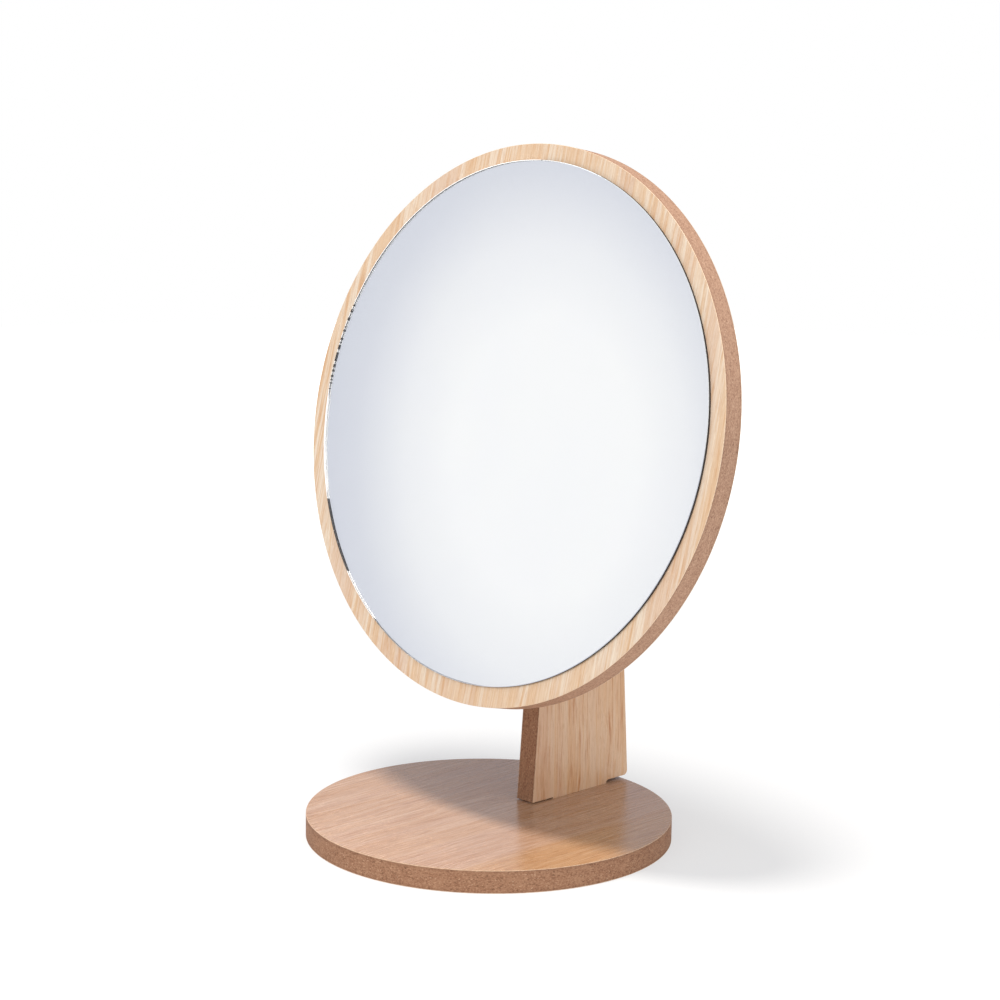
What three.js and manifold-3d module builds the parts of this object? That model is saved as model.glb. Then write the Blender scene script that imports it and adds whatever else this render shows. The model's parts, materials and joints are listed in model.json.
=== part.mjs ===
// A round dressing-table mirror that stands on a flat round base.
//
// Frame: millimetres, +Z up, with the origin at the centre of the base's underside. The mirror faces -Y
// and leans back. The upright stands on edge in the plane x = 0, behind the mirror.
// Everything that tilts is built in a frame of its own, whose origin is on the pivot and whose board
// stands upright, and that whole frame is then leaned back.
import * as THREE from "three";
import { mergeVertices } from "three/addons/utils/BufferGeometryUtils.js";
import Module from "manifold-3d";

const wasm = await Module();
wasm.setup();

const radians = THREE.MathUtils.degToRad;

// Boards: MDF with a thin wood-grain laminate glued on both faces
const BOARD = 12;
const LAMINATE = 0.3;
const GLUE_LINE = 0.05;

// Base
const BASE_RADIUS = 95;
const MORTISE_DEPTH = 5;
const MORTISE_PLAY = 0.2;

// Upright, seen from the side. Its edges lean towards each other as they rise.
const UPRIGHT_FRONT = 26.35;
const UPRIGHT_REAR = 98;
const FRONT_LEAN = radians(4.2);
const REAR_LEAN = radians(3.9);
const FRONT_SHOULDER_CLEARANCE = 0.5;
const REAR_SHOULDER_CLEARANCE = 1.5;
const REAR_CORNER_RADIUS = 2.5;
const TAB_FRONT = 41.6;
const TAB_REAR = 81.6;
const TAB_CLEARANCE = 0.1;

// Pivot and mirror
const PIVOT_HEIGHT = 203.4;
const PIVOT_HOLE_RADIUS = 3.25;
const TILT = radians(13.7);
const PIVOT_TO_BOARD = 41.7;
const MIRROR_BOARD_RADIUS = 144.3;
const GLASS_RADIUS = 134.7;
const GLASS_RISE = 1;
const GLASS = 1.5;
const GLASS_ARRIS = 0.3;
const SILVERING = 0.1;
const SILVERING_MARGIN = 0.3;
const ADHESIVE = 0.15;
const ADHESIVE_MARGIN = 6;
const FILM_GAP = 0.02;

// Brackets, pressed from steel strip
const BRACKET_STEEL = 2;
const BRACKET_BEND_RADIUS = 1;
const BRACKET_HEIGHT = 40;
const FLANGE_REACH = 33;
const FLANGE_CORNER_RADIUS = 4;
const EAR_SHOULDER = 4;
const EAR_END_RADIUS = 10;

// Fasteners
const FIT = 0.05;
const BASE_SCREW = { length: 40, shank: 2, head: 4, point: 6, recess: 4.4 };
const BASE_SCREW_SPACING = 20;
const BRACKET_SCREW = { length: 12, shank: 1.75, head: 3.5, point: 3, recess: 3.6 };
const BRACKET_SCREW_SPACING = 26;
const BRACKET_SCREW_REACH = 23;
const SCREW_HOLE_CLEARANCE = 0.15;
const COUNTERSINK_CLEARANCE = 0.3;
const RECESS_SLOT = 0.8;
const RECESS_DEPTH = 1.2;
const BOLT = { radius: 3, length: 30, head: 6.8, headHeight: 3.3, neck: 1.95, chamfer: 0.6 };
const NECK_HOLE_CLEARANCE = 0.15;
const FRICTION_WASHER = { inner: 3.1, outer: 9, thickness: 1.2 };
const STEEL_WASHER = { inner: 3.2, outer: 6, thickness: 1.6 };
const KNOB = { radius: 15, lobes: 6, lobeDepth: 2.6, grip: 12, boss: 8, bossLength: 5, edge: 2 };
const INSERT = { inner: 3.1, outer: 4.5, length: 13 };

// Derived places
const BASE_TOP = BOARD;
const TAB_CENTRE = (TAB_FRONT + TAB_REAR) / 2;
const HALF_UPRIGHT = BOARD / 2;
const PIVOT_RISE = PIVOT_HEIGHT - BASE_TOP;
// The pivot is as far from one leaning edge of the upright as from the other.
const PIVOT_Y =
  (UPRIGHT_FRONT * Math.cos(FRONT_LEAN) +
    UPRIGHT_REAR * Math.cos(REAR_LEAN) +
    PIVOT_RISE * (Math.sin(FRONT_LEAN) - Math.sin(REAR_LEAN))) /
  (Math.cos(FRONT_LEAN) + Math.cos(REAR_LEAN));
const UPRIGHT_TOP_RADIUS =
  (PIVOT_Y - UPRIGHT_FRONT) * Math.cos(FRONT_LEAN) - PIVOT_RISE * Math.sin(FRONT_LEAN);
const BOARD_BACK = -PIVOT_TO_BOARD;
const BOARD_FACE = BOARD_BACK - BOARD;
const FLANGE_FRONT = BOARD_BACK + FIT;
const FLANGE_REAR = FLANGE_FRONT + BRACKET_STEEL;
const EAR_INNER = HALF_UPRIGHT + FIT + FRICTION_WASHER.thickness + FIT;
const EAR_OUTER = EAR_INNER + BRACKET_STEEL;
const KNOB_WASHER_FACE = EAR_OUTER + FIT;
const KNOB_FACE = KNOB_WASHER_FACE + STEEL_WASHER.thickness + FIT;

const laminate = finish(0xe3c29f, 0.45, 0);
const mdf = finish(0xa5795f, 0.9, 0);
const glass = finish(0xe4eaee, 0.03, 0);
const silver = finish(0xf2f4f6, 0.03, 1);
const adhesive = finish(0xd9d6cc, 0.6, 0);
const zincSteel = finish(0xb9bcc0, 0.35, 1);
const nylon = finish(0xe9e6dc, 0.5, 0);
const blackPlastic = finish(0x1d1d1f, 0.5, 0);
const brass = finish(0xc9a24a, 0.35, 1);

function finish(color, roughness, metalness) {
  return new THREE.MeshStandardMaterial({ color, roughness, metalness });
}

const UNIT = {
  x: new THREE.Vector3(1, 0, 0),
  y: new THREE.Vector3(0, 1, 0),
  z: new THREE.Vector3(0, 0, 1),
};
// The two directions that an outline is drawn along when its thickness runs along each axis
const PLANE = { x: "yz", y: "zx", z: "xy" };

// A closed geometry as a solid that can be joined and cut
function solid(geometry) {
  const bare = geometry.clone();
  bare.deleteAttribute("normal");
  bare.deleteAttribute("uv");
  const merged = mergeVertices(bare);
  const vertProperties = merged.attributes.position.array;
  const triVerts = Uint32Array.from(merged.index.array);
  return new wasm.Manifold(new wasm.Mesh({ numProp: 3, vertProperties, triVerts }));
}

function geometryOf(body) {
  const { vertProperties, triVerts } = body.getMesh();
  const indexed = new THREE.BufferGeometry();
  indexed.setAttribute("position", new THREE.BufferAttribute(vertProperties, 3));
  indexed.setIndex(new THREE.BufferAttribute(triVerts, 1));
  const faceted = indexed.toNonIndexed();
  faceted.computeVertexNormals();
  return faceted;
}

function cut(blank, tools) {
  return tools.reduce((rest, tool) => rest.subtract(tool), blank);
}

// An outline drawn across an axis, made solid from one place on the axis to another
function extruded(axis, outline, [from, to]) {
  const [across, up] = PLANE[axis];
  const settings = { depth: to - from, bevelEnabled: false, curveSegments: 24 };
  const geometry = new THREE.ExtrudeGeometry(outline, settings);
  geometry.translate(0, 0, from);
  geometry.applyMatrix4(new THREE.Matrix4().makeBasis(UNIT[across], UNIT[up], UNIT[axis]));
  return solid(geometry);
}

// A profile of [radius, place on the axis] points, turned about a line through `at` along an axis
function turned(axis, profile, { at = [0, 0, 0], segments = 32 } = {}) {
  const [across, up] = PLANE[axis];
  const points = profile.map(([radius, along]) => new THREE.Vector2(radius, along));
  const geometry = new THREE.LatheGeometry(points, segments);
  geometry.applyMatrix4(new THREE.Matrix4().makeBasis(UNIT[up], UNIT[axis], UNIT[across]));
  geometry.translate(...at);
  return solid(geometry);
}

function rod(axis, radius, [from, to], options) {
  return turned(axis, [[0, from], [radius, from], [radius, to], [0, to]], options);
}

function ring(axis, { inner, outer }, [from, to]) {
  return turned(axis, [[inner, from], [outer, from], [outer, to], [inner, to], [inner, from]]);
}

function block(low, high) {
  const size = high.map((edge, i) => edge - low[i]);
  const geometry = new THREE.BoxGeometry(...size);
  geometry.translate(...low.map((edge, i) => edge + size[i] / 2));
  return solid(geometry);
}

// The three layers of a laminated board, from the face at `start` to the far face
function boardLayers(start) {
  const skin = LAMINATE + GLUE_LINE;
  return {
    near: [start, start + LAMINATE],
    core: [start + skin, start + BOARD - skin],
    far: [start + BOARD - LAMINATE, start + BOARD],
  };
}

// A cross of two slots in the head of a screw
function crossRecess(axis, at, face, span) {
  const letters = ["x", "y", "z"];
  const [across, up] = PLANE[axis];
  return [[across, up], [up, across]].map(([long, short]) => {
    const half = { [long]: span / 2, [short]: RECESS_SLOT / 2, [axis]: RECESS_DEPTH };
    const centre = letters.map((letter, i) => (letter === axis ? face : at[i]));
    const low = letters.map((letter, i) => centre[i] - half[letter]);
    const high = letters.map((letter, i) => centre[i] + half[letter]);
    return block(low, high);
  });
}

// A countersunk wood screw whose flat head lies at `face` and whose point goes the way of `direction`
function woodScrew(axis, at, face, direction, { length, shank, head, point, recess }) {
  const profile = [[0, 0], [head, 0], [shank, head - shank], [shank, length - point], [0, length]];
  const placed = profile.map(([radius, depth]) => [radius, face + direction * depth]);
  if (direction < 0) placed.reverse();
  return cut(turned(axis, placed, { at, segments: 24 }), crossRecess(axis, at, face, recess));
}

// The space that such a screw needs, open outwards past its head
function screwHole(axis, at, face, direction, { length, shank, head }) {
  const mouth = head + COUNTERSINK_CLEARANCE;
  const hole = shank + SCREW_HOLE_CLEARANCE;
  const profile = [[0, -BOARD], [mouth, -BOARD], [mouth, 0], [hole, mouth - hole], [hole, length + 1]];
  profile.push([0, length + 1]);
  const placed = profile.map(([radius, depth]) => [radius, face + direction * depth]);
  if (direction < 0) placed.reverse();
  return turned(axis, placed, { at, segments: 24 });
}

const object = new THREE.Group();
const tilting = new THREE.Group();
tilting.position.set(0, PIVOT_Y, PIVOT_HEIGHT);
tilting.rotation.x = -TILT;
object.add(tilting);

function add(group, name, body, material) {
  const mesh = new THREE.Mesh(geometryOf(body), material);
  mesh.name = name;
  group.add(mesh);
}

const BASE_SCREW_FACE = LAMINATE + FIT;
const BASE_SCREW_PLACES = {
  base_screw_front: [0, TAB_CENTRE - BASE_SCREW_SPACING / 2, 0],
  base_screw_rear: [0, TAB_CENTRE + BASE_SCREW_SPACING / 2, 0],
};
const baseScrewHoles = Object.values(BASE_SCREW_PLACES).map((at) =>
  screwHole("z", at, BASE_SCREW_FACE, 1, BASE_SCREW),
);

function addBase() {
  const halfMortise = HALF_UPRIGHT + MORTISE_PLAY;
  const mortise = block(
    [-halfMortise, TAB_FRONT - MORTISE_PLAY, BASE_TOP - MORTISE_DEPTH],
    [halfMortise, TAB_REAR + MORTISE_PLAY, BASE_TOP + 1],
  );
  const { near, core, far } = boardLayers(0);
  const layer = (span) =>
    cut(rod("z", BASE_RADIUS, span, { segments: 96 }), [mortise, ...baseScrewHoles]);
  add(object, "base_underside_laminate", layer(near), laminate);
  add(object, "base_core", layer(core), mdf);
  add(object, "base_top_laminate", layer(far), laminate);
  for (const [name, at] of Object.entries(BASE_SCREW_PLACES))
    add(object, name, woodScrew("z", at, BASE_SCREW_FACE, 1, BASE_SCREW), zincSteel);
}

// The upright from the side: a tab, two shoulders just clear of the base, and two edges that lean
// together up to a round top about the pivot. Rounded roots join the tab to the shoulders.
function uprightOutline() {
  const frontAt = (z) => UPRIGHT_FRONT + (z - BASE_TOP) * Math.tan(FRONT_LEAN);
  const rearAt = (z) => UPRIGHT_REAR - (z - BASE_TOP) * Math.tan(REAR_LEAN);
  const frontShoulder = BASE_TOP + FRONT_SHOULDER_CLEARANCE;
  const rearShoulder = BASE_TOP + REAR_SHOULDER_CLEARANCE;
  const tabEnd = BASE_TOP - MORTISE_DEPTH + TAB_CLEARANCE;
  const cornerZ = rearShoulder + REAR_CORNER_RADIUS;
  const cornerY = rearAt(cornerZ) - REAR_CORNER_RADIUS / Math.cos(REAR_LEAN);
  const outline = new THREE.Shape();
  outline.moveTo(frontAt(frontShoulder), frontShoulder);
  outline.absarc(TAB_FRONT - FRONT_SHOULDER_CLEARANCE, BASE_TOP, FRONT_SHOULDER_CLEARANCE,
    Math.PI / 2, 0, true);
  outline.lineTo(TAB_FRONT, tabEnd);
  outline.lineTo(TAB_REAR, tabEnd);
  outline.absarc(TAB_REAR + REAR_SHOULDER_CLEARANCE, BASE_TOP, REAR_SHOULDER_CLEARANCE,
    Math.PI, Math.PI / 2, true);
  outline.absarc(cornerY, cornerZ, REAR_CORNER_RADIUS, -Math.PI / 2, REAR_LEAN, false);
  outline.absarc(PIVOT_Y, PIVOT_HEIGHT, UPRIGHT_TOP_RADIUS, REAR_LEAN, Math.PI - FRONT_LEAN, false);
  outline.closePath();
  return outline;
}

function addUpright() {
  const outline = uprightOutline();
  const hole = rod("x", PIVOT_HOLE_RADIUS, [-BOARD, BOARD], { at: [0, PIVOT_Y, PIVOT_HEIGHT] });
  const layer = (span) => cut(extruded("x", outline, span), [hole, ...baseScrewHoles]);
  const { near, core, far } = boardLayers(-HALF_UPRIGHT);
  add(object, "upright_left_laminate", layer(near), laminate);
  add(object, "upright_core", layer(core), mdf);
  add(object, "upright_right_laminate", layer(far), laminate);
}

const BRACKET_SCREW_PLACES = {};
for (const [side, x] of Object.entries({ left: -BRACKET_SCREW_REACH, right: BRACKET_SCREW_REACH }))
  for (const [level, z] of Object.entries({ lower: -1, upper: 1 }))
    BRACKET_SCREW_PLACES[`${side}_bracket_${level}_screw`] = [x, 0, (z * BRACKET_SCREW_SPACING) / 2];
const bracketScrewHoles = Object.values(BRACKET_SCREW_PLACES).map((at) =>
  screwHole("y", at, FLANGE_REAR - FIT, -1, BRACKET_SCREW),
);

function addMirrorBoard() {
  const { near, core, far } = boardLayers(BOARD_FACE);
  const layer = (span) =>
    cut(rod("y", MIRROR_BOARD_RADIUS, span, { segments: 96 }), bracketScrewHoles);
  add(tilting, "mirror_board_front_laminate", layer(near), laminate);
  add(tilting, "mirror_board_core", layer(core), mdf);
  add(tilting, "mirror_board_back_laminate", layer(far), laminate);
}

// Adhesive, silvering and glass, one on the other, out from the board's face
function addGlass() {
  const options = { at: [0, 0, GLASS_RISE], segments: 96 };
  const adhesiveBack = BOARD_FACE - GLUE_LINE;
  const silverBack = adhesiveBack - ADHESIVE - FILM_GAP;
  const glassBack = silverBack - SILVERING - FILM_GAP;
  const glassFace = glassBack - GLASS;
  const film = (margin, back, thickness) =>
    rod("y", GLASS_RADIUS - margin, [back - thickness, back], options);
  const pane = [
    [0, glassFace],
    [GLASS_RADIUS - GLASS_ARRIS, glassFace],
    [GLASS_RADIUS, glassFace + GLASS_ARRIS],
    [GLASS_RADIUS, glassBack - GLASS_ARRIS],
    [GLASS_RADIUS - GLASS_ARRIS, glassBack],
    [0, glassBack],
  ];
  add(tilting, "mirror_adhesive", film(ADHESIVE_MARGIN, adhesiveBack, ADHESIVE), adhesive);
  add(tilting, "mirror_silvering", film(SILVERING_MARGIN, silverBack, SILVERING), silver);
  add(tilting, "mirror_glass", turned("y", pane, options), glass);
}

// The bent strip from above: an ear beside the upright, and a flange out along the board
function bracketSection(side) {
  const bendX = EAR_OUTER + BRACKET_BEND_RADIUS;
  const bendY = FLANGE_REAR + BRACKET_BEND_RADIUS;
  const path = new THREE.Path();
  path.moveTo(EAR_INNER, EAR_END_RADIUS);
  path.absarc(bendX, bendY, BRACKET_BEND_RADIUS + BRACKET_STEEL, Math.PI, 1.5 * Math.PI, false);
  path.lineTo(FLANGE_REACH, FLANGE_FRONT);
  path.lineTo(FLANGE_REACH, FLANGE_REAR);
  path.absarc(bendX, bendY, BRACKET_BEND_RADIUS, 1.5 * Math.PI, Math.PI, true);
  path.lineTo(EAR_OUTER, EAR_END_RADIUS);
  return new THREE.Shape(path.getPoints(8).map((p) => new THREE.Vector2(side * p.x, p.y)));
}

// The ear from the side: full height at the flange, then tapering to a round end about the pivot
function earOutline() {
  const half = BRACKET_HEIGHT / 2;
  const shoulder = FLANGE_REAR + EAR_SHOULDER;
  const swing = Math.acos(EAR_END_RADIUS / Math.hypot(shoulder, half));
  const touch = Math.atan2(half, shoulder) - swing;
  const outline = new THREE.Shape();
  outline.moveTo(FLANGE_FRONT, half);
  outline.lineTo(FLANGE_FRONT, -half);
  outline.lineTo(shoulder, -half);
  outline.absarc(0, 0, EAR_END_RADIUS, -touch, touch, false);
  outline.lineTo(shoulder, half);
  outline.closePath();
  return outline;
}

// The flange from behind, drawn with its height first: only its outer corners are rounded
function flangeOutline(side) {
  const half = BRACKET_HEIGHT / 2;
  const r = FLANGE_CORNER_RADIUS;
  const path = new THREE.Path();
  path.moveTo(-half, EAR_INNER);
  path.lineTo(half, EAR_INNER);
  path.absarc(half - r, FLANGE_REACH - r, r, 0, Math.PI / 2, false);
  path.absarc(r - half, FLANGE_REACH - r, r, Math.PI / 2, Math.PI, false);
  return new THREE.Shape(path.getPoints(8).map((p) => new THREE.Vector2(p.x, side * p.y)));
}

function tiltBracket(side, pivotHole) {
  const strip = extruded("z", bracketSection(side), [-BRACKET_HEIGHT / 2, BRACKET_HEIGHT / 2]);
  const ear = extruded("x", earOutline(), [-FLANGE_REACH, FLANGE_REACH]);
  const flange = extruded("y", flangeOutline(side), [FLANGE_FRONT, EAR_END_RADIUS]);
  return cut(strip.intersect(ear).intersect(flange), [pivotHole, ...bracketScrewHoles]);
}

function addBrackets() {
  const half = BOLT.radius + NECK_HOLE_CLEARANCE;
  const squareHole = block([-EAR_OUTER - 1, -half, -half], [0, half, half]);
  const roundHole = rod("x", PIVOT_HOLE_RADIUS, [0, EAR_OUTER + 1]);
  add(tilting, "left_tilt_bracket", tiltBracket(-1, squareHole), zincSteel);
  add(tilting, "right_tilt_bracket", tiltBracket(1, roundHole), zincSteel);
  for (const [name, at] of Object.entries(BRACKET_SCREW_PLACES))
    add(tilting, name, woodScrew("y", at, FLANGE_REAR - FIT, -1, BRACKET_SCREW), zincSteel);
}

// A coach bolt: a low domed head, a square neck that keeps it from turning in the left bracket, and a
// plain shank in place of its thread
function pivotBolt() {
  const headFace = -EAR_OUTER - FIT;
  const domeRadius = (BOLT.head ** 2 + BOLT.headHeight ** 2) / (2 * BOLT.headHeight);
  const domeCentre = headFace - BOLT.headHeight + domeRadius;
  const rim = Math.asin(BOLT.head / domeRadius);
  const steps = 8;
  const profile = Array.from({ length: steps + 1 }, (_, i) => {
    const angle = (rim * i) / steps;
    return [domeRadius * Math.sin(angle), domeCentre - domeRadius * Math.cos(angle)];
  });
  const end = headFace + BOLT.length;
  profile.push([BOLT.radius, headFace], [BOLT.radius, end - BOLT.chamfer]);
  profile.push([BOLT.radius - BOLT.chamfer, end], [0, end]);
  const r = BOLT.radius;
  const neck = block([headFace - FIT, -r, -r], [headFace + BOLT.neck, r, r]);
  return turned("x", profile).add(neck);
}

// A grip with rounded lobes and a softened outer rim, on a round boss that takes the brass insert
function clampKnob() {
  const gripStart = KNOB_FACE + KNOB.bossLength;
  const end = gripStart + KNOB.grip;
  const points = Array.from({ length: KNOB.lobes * 12 }, (_, i) => {
    const angle = (2 * Math.PI * i) / (KNOB.lobes * 12);
    const radius = KNOB.radius - (KNOB.lobeDepth * (1 - Math.cos(KNOB.lobes * angle))) / 2;
    return new THREE.Vector2(radius * Math.cos(angle), radius * Math.sin(angle));
  });
  const lobes = extruded("x", new THREE.Shape(points), [gripStart, end]);
  const softened = turned("x", [
    [0, gripStart],
    [KNOB.radius - KNOB.edge, gripStart],
    [KNOB.radius, gripStart + KNOB.edge],
    [KNOB.radius, end - KNOB.edge],
    [KNOB.radius - KNOB.edge, end],
    [0, end],
  ]);
  const boss = rod("x", KNOB.boss, [KNOB_FACE, gripStart + 1]);
  const bore = rod("x", INSERT.outer + FIT, [KNOB_FACE - 1, KNOB_FACE + INSERT.length + FIT]);
  return cut(lobes.intersect(softened).add(boss), [bore]);
}

function addPivot() {
  const washer = (size, start) => ring("x", size, [start, start + size.thickness]);
  const washerInner = HALF_UPRIGHT + FIT;
  const leftStart = -washerInner - FRICTION_WASHER.thickness;
  add(tilting, "left_friction_washer", washer(FRICTION_WASHER, leftStart), nylon);
  add(tilting, "right_friction_washer", washer(FRICTION_WASHER, washerInner), nylon);
  add(tilting, "pivot_bolt", pivotBolt(), zincSteel);
  add(tilting, "knob_washer", washer(STEEL_WASHER, KNOB_WASHER_FACE), zincSteel);
  add(tilting, "clamp_knob", clampKnob(), blackPlastic);
  add(tilting, "clamp_knob_insert", ring("x", INSERT, [KNOB_FACE, KNOB_FACE + INSERT.length]), brass);
}

addBase();
addUpright();
addMirrorBoard();
addGlass();
addBrackets();
addPivot();

export default object;
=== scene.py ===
"""A round dressing-table mirror: a glass on a laminated round board, which tilts on a flat upright that
stands in a round base.

Meshes are built in millimetres, in one of two frames. STAND is the row frame. TILTED has its origin on
the pivot and its board upright, and is leaned back as the board is at rest.
"""

import json
import math

import bmesh
import bpy
from mathutils import Matrix, Vector, noise
from mathutils.geometry import tessellate_polygon


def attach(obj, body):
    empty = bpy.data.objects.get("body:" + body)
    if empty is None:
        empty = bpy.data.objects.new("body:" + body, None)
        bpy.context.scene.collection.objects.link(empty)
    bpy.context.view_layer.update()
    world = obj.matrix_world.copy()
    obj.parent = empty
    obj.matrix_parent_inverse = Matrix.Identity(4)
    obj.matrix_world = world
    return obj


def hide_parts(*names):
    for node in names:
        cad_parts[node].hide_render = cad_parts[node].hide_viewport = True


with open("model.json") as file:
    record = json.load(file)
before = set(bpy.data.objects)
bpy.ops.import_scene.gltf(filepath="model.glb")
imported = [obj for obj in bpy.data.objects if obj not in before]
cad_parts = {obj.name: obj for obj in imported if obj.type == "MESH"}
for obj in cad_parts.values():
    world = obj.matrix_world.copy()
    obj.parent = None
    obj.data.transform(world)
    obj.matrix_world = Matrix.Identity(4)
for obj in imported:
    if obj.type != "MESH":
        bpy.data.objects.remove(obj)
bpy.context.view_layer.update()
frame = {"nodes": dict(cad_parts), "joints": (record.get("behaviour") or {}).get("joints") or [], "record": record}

MM = 0.001
BODY_OF = {
    node: body
    for body, nodes in frame["record"]["behaviour"]["bodies"].items()
    for node in nodes
}
PIVOT = Vector(next(j["pos_m"] for j in frame["joints"] if j["name"] == "mirror_tilt"))
LEAN = math.radians(13.7)
STAND = Matrix.Scale(MM, 4)
TILTED = Matrix.Translation(PIVOT) @ Matrix.Rotation(-LEAN, 4, "X") @ Matrix.Scale(MM, 4)

# ---------------------------------------------------------------- camera, floor and light

TARGET = Vector((0.0024, 0.0025, 0.1784))
CAMERA_AZIMUTH = math.radians(45.29)
CAMERA_ELEVATION = math.radians(12.98)
CAMERA_ROLL = math.radians(0.81)
CAMERA_DISTANCE = 1.898
LENS = 134.1
FLOOR_RADIUS = 1.5
KEY_AZIMUTH = math.radians(-10)
KEY_ELEVATION = math.radians(77.5)
KEY_DISTANCE = 4.4
KEY_SIZE = 1.0
KEY_POWER = 178
KEY_COLOUR = (1.0, 0.965, 0.92)
FILL_AZIMUTH = math.radians(55)
FILL_ELEVATION = math.radians(20)
FILL_BRIGHT = [1.35, 1.35, 1.35, 1.0]
FILL_DIM = [0.36, 0.38, 0.44, 1.0]
WALL = [0.66, 0.68, 0.76, 1.0]
WALL_HIGH = [0.88, 0.89, 0.92, 1.0]
# The bright oval on the wall: its level axis, its upright axis, where its middle lies along them and how
# far it reaches, on a unit sphere
GLOW_ACROSS = Vector((0.7035, -0.6310, 0.3270))
GLOW_UP = Vector((-0.1600, 0.3080, 0.9380))
GLOW_MIDDLE = (0.0121, 0.0115)
GLOW_REACH = (0.0515, 0.079)
GLOW_FADE = 1.6
GLOW_PROFILE = ((0.0, 1.0), (0.30, 0.98), (0.46, 0.74), (0.62, 0.25), (0.78, 0.04), (1.0, 0.0))
GLOW_COLOUR = [1.015, 1.01, 1.01, 1.0]
FILL_PATCH = [1.6, 1.6, 1.6, 1.0]
WHITE = [1.0, 1.0, 1.0, 1.0]
FLOOR_GREY = 0.32
# The floor glows of itself, more towards its rim, so that it stays white away from the key light
FLOOR_GLOW = 0.55
RIM_GLOW = 1.0
GLOW_RISES_FROM = 0.45
PAPER_GRAIN = 300.0
PAPER_DEPTH = 0.00002


def srgb(red, green, blue):
    """A linear colour from 8-bit display values."""
    channels = [c / 255 for c in (red, green, blue)]
    return [c / 12.92 if c <= 0.04045 else ((c + 0.055) / 1.055) ** 2.4 for c in channels] + [1.0]


def heading(azimuth, elevation):
    """The direction from the object towards a camera or light."""
    flat = math.cos(elevation)
    return Vector((math.sin(azimuth) * flat, -math.cos(azimuth) * flat, math.sin(elevation)))


def aimed(location, back):
    """A transform at a place whose -Z looks the other way from `back`."""
    return Matrix.Translation(location) @ back.to_track_quat("Z", "Y").to_matrix().to_4x4()


def add_object(name, data, transform=Matrix.Identity(4)):
    made = bpy.data.objects.new(name, data)
    made.matrix_world = transform
    bpy.context.scene.collection.objects.link(made)
    return made


def add_camera():
    lens = bpy.data.cameras.new("camera")
    lens.lens = LENS
    lens.clip_start = 0.05
    back = heading(CAMERA_AZIMUTH, CAMERA_ELEVATION)
    aim = aimed(TARGET + back * CAMERA_DISTANCE, back) @ Matrix.Rotation(CAMERA_ROLL, 4, "Z")
    bpy.context.scene.camera = add_object("camera", lens, aim)


def add_key_light():
    light = bpy.data.lights.new("key", "AREA")
    light.shape = "DISK"
    light.size = KEY_SIZE
    light.energy = KEY_POWER
    light.color = KEY_COLOUR
    back = heading(KEY_AZIMUTH, KEY_ELEVATION)
    add_object("key", light, aimed(back * KEY_DISTANCE, back))


class Graph:
    """A node tree with short calls for the nodes that the finishes use."""

    def __init__(self, tree):
        self.nodes, self.links = tree.nodes, tree.links

    def add(self, kind, inputs=None, **settings):
        node = self.nodes.new(kind)
        for name, value in settings.items():
            setattr(node, name, value)
        for name, value in (inputs or {}).items():
            self.feed(node.inputs[name], value)
        return node

    def feed(self, socket, value):
        if isinstance(value, bpy.types.NodeSocket):
            self.links.new(value, socket)
        elif value is not None:
            socket.default_value = value

    def math(self, operation, *values, clamp=False):
        node = self.add("ShaderNodeMath", operation=operation, use_clamp=clamp)
        for socket, value in zip(node.inputs, values):
            self.feed(socket, value)
        return node.outputs[0]

    def ramp(self, factor, *stops, blend="EASE"):
        """A colour or grey for each stop, (place, colour)."""
        node = self.add("ShaderNodeValToRGB", {"Fac": factor})
        band = node.color_ramp
        band.interpolation = blend
        while len(band.elements) < len(stops):
            band.elements.new(0.5)
        for element, (place, colour) in zip(band.elements, stops):
            element.position = place
            element.color = colour if isinstance(colour, list) else [colour] * 3 + [1.0]
        return node.outputs["Color"]

    def mix(self, factor, first, second, blend="MIX"):
        node = self.add("ShaderNodeMix", data_type="RGBA", blend_type=blend)
        sockets = (node.inputs[0], node.inputs[6], node.inputs[7])
        for socket, value in zip(sockets, (factor, first, second)):
            self.feed(socket, value)
        return node.outputs[2]

    def noise(self, place, scale, detail=2.0, roughness=0.5, shift=0.0):
        """Noise of about `scale` bumps for each unit along each axis."""
        moved = {"Vector": place, "Scale": scale, "Location": (shift, shift * 0.7, shift * 1.3)}
        stretched = self.add("ShaderNodeMapping", moved)
        inputs = {"Vector": stretched.outputs[0], "Scale": 1.0, "Detail": detail, "Roughness": roughness}
        return self.add("ShaderNodeTexNoise", inputs).outputs["Fac"]


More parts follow.
